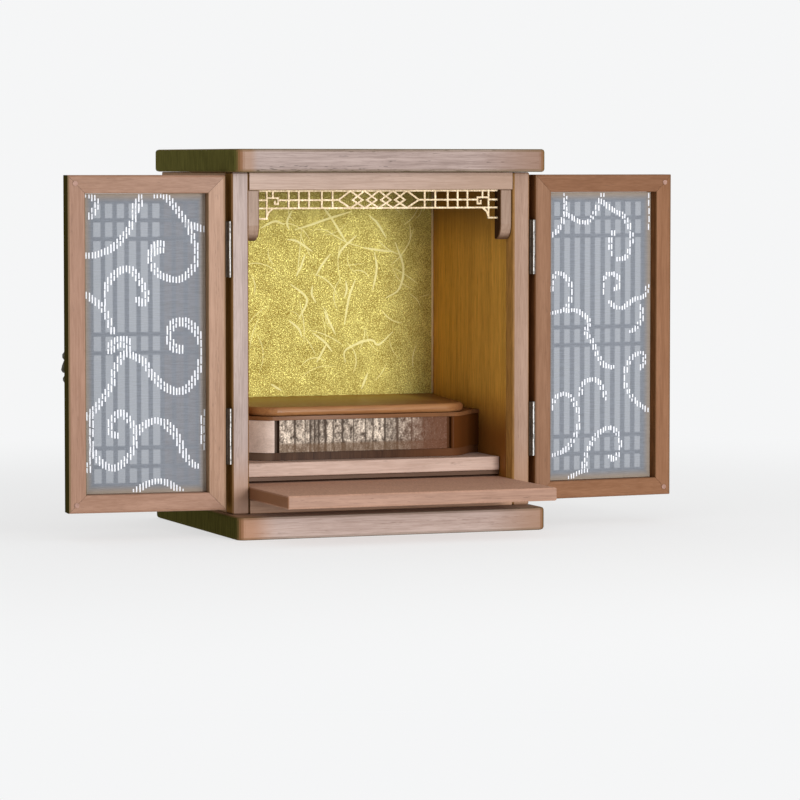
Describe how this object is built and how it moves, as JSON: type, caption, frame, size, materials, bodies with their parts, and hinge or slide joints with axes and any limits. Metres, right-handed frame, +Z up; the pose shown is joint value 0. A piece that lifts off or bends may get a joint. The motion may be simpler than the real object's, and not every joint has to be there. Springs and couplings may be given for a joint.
{
  "type": "household altar cabinet",
  "caption": "Small wooden household altar cabinet with cloth-and-lattice doors folded back flat, a gold back panel, a stepped dais and a board drawn out below the shelf.",
  "frame": {"origin": "centre of the base board's underside", "axes": "+Z up, -Y towards the open front, +X to the right as seen from the front"},
  "size_m": [0.7054, 0.382, 0.42],
  "materials": {
    "walnut": "satin lacquer over fine straight grain",
    "inner_walnut": "satin lacquer, golden brown",
    "dais_walnut": "polished lacquer",
    "gold_paper": "gold-faced fibre paper",
    "silver_relief": "crinkled silver-beige foil in low relief",
    "pale_gilt": "pale gilt on fine bars",
    "grey_gauze": "fine plain gauze with woven white scrolls",
    "lattice_wood": "dark stain",
    "bumper_metal": "plated",
    "hinge_steel": "bright plated",
    "antique_metal": "dark antique"
  },
  "bodies": {
    "cabinet": {"base_board": "walnut", "top_board": "walnut", "post_left": "walnut", "post_right": "walnut", "side_panel_left": "walnut", "side_panel_right": "walnut", "side_lining_left": "inner_walnut", "side_lining_right": "inner_walnut", "back_board": "walnut", "gold_back_panel": "gold_paper", "lintel": "walnut", "bottom_rail": "walnut", "shelf": "walnut", "shelf_apron": "walnut", "slide_runner_left": "inner_walnut", "slide_runner_right": "inner_walnut", "dais_plinth": "walnut", "dais_body": "walnut", "dais_front_panel": "silver_relief", "dais_moulding": "dais_walnut", "dais_top": "dais_walnut", "ranma": "pale_gilt", "bracket_left": "walnut", "bracket_right": "walnut", "post_left_leaf_lower": "hinge_steel", "post_left_leaf_upper": "hinge_steel", "post_right_leaf_lower": "hinge_steel", "post_right_leaf_upper": "hinge_steel"},
    "door_left": {"door_left_hinge_stile": "walnut", "door_left_free_stile": "walnut", "door_left_top_rail": "walnut", "door_left_bottom_rail": "walnut", "door_left_lattice": "lattice_wood", "door_left_gauze": "grey_gauze", "door_left_pull": "antique_metal", "door_left_bumper_top": "bumper_metal", "door_left_bumper_bottom": "bumper_metal", "door_left_leaf_lower": "hinge_steel", "door_left_leaf_upper": "hinge_steel"},
    "door_right": {"door_right_hinge_stile": "walnut", "door_right_free_stile": "walnut", "door_right_top_rail": "walnut", "door_right_bottom_rail": "walnut", "door_right_lattice": "lattice_wood", "door_right_gauze": "grey_gauze", "door_right_pull": "antique_metal", "door_right_bumper_top": "bumper_metal", "door_right_bumper_bottom": "bumper_metal", "door_right_leaf_lower": "hinge_steel", "door_right_leaf_upper": "hinge_steel"},
    "slide": {"slide_board": "walnut"}
  },
  "joints": [
    {"name": "door_left_hinge", "type": "hinge", "parent": "cabinet", "child": "door_left", "pos_m": [-0.177, -0.1117, 0.21125], "axis": [0, 0, 1], "range_deg": [0, 185]},
    {"name": "door_right_hinge", "type": "hinge", "parent": "cabinet", "child": "door_right", "pos_m": [0.177, -0.1117, 0.21125], "axis": [0, 0, 1], "range_deg": [-185, 0]},
    {"name": "slide_run", "type": "slide", "parent": "cabinet", "child": "slide", "axis": [0, 1, 0], "range_m": [0, 0.138]}
  ],
  "couplings": [
    {"joint": "door_right_hinge", "follows": "door_left_hinge", "ratio": -1},
    {"joint": "slide_run", "follows": "door_left_hinge", "m_per_rad": 0.04274}
  ]
}
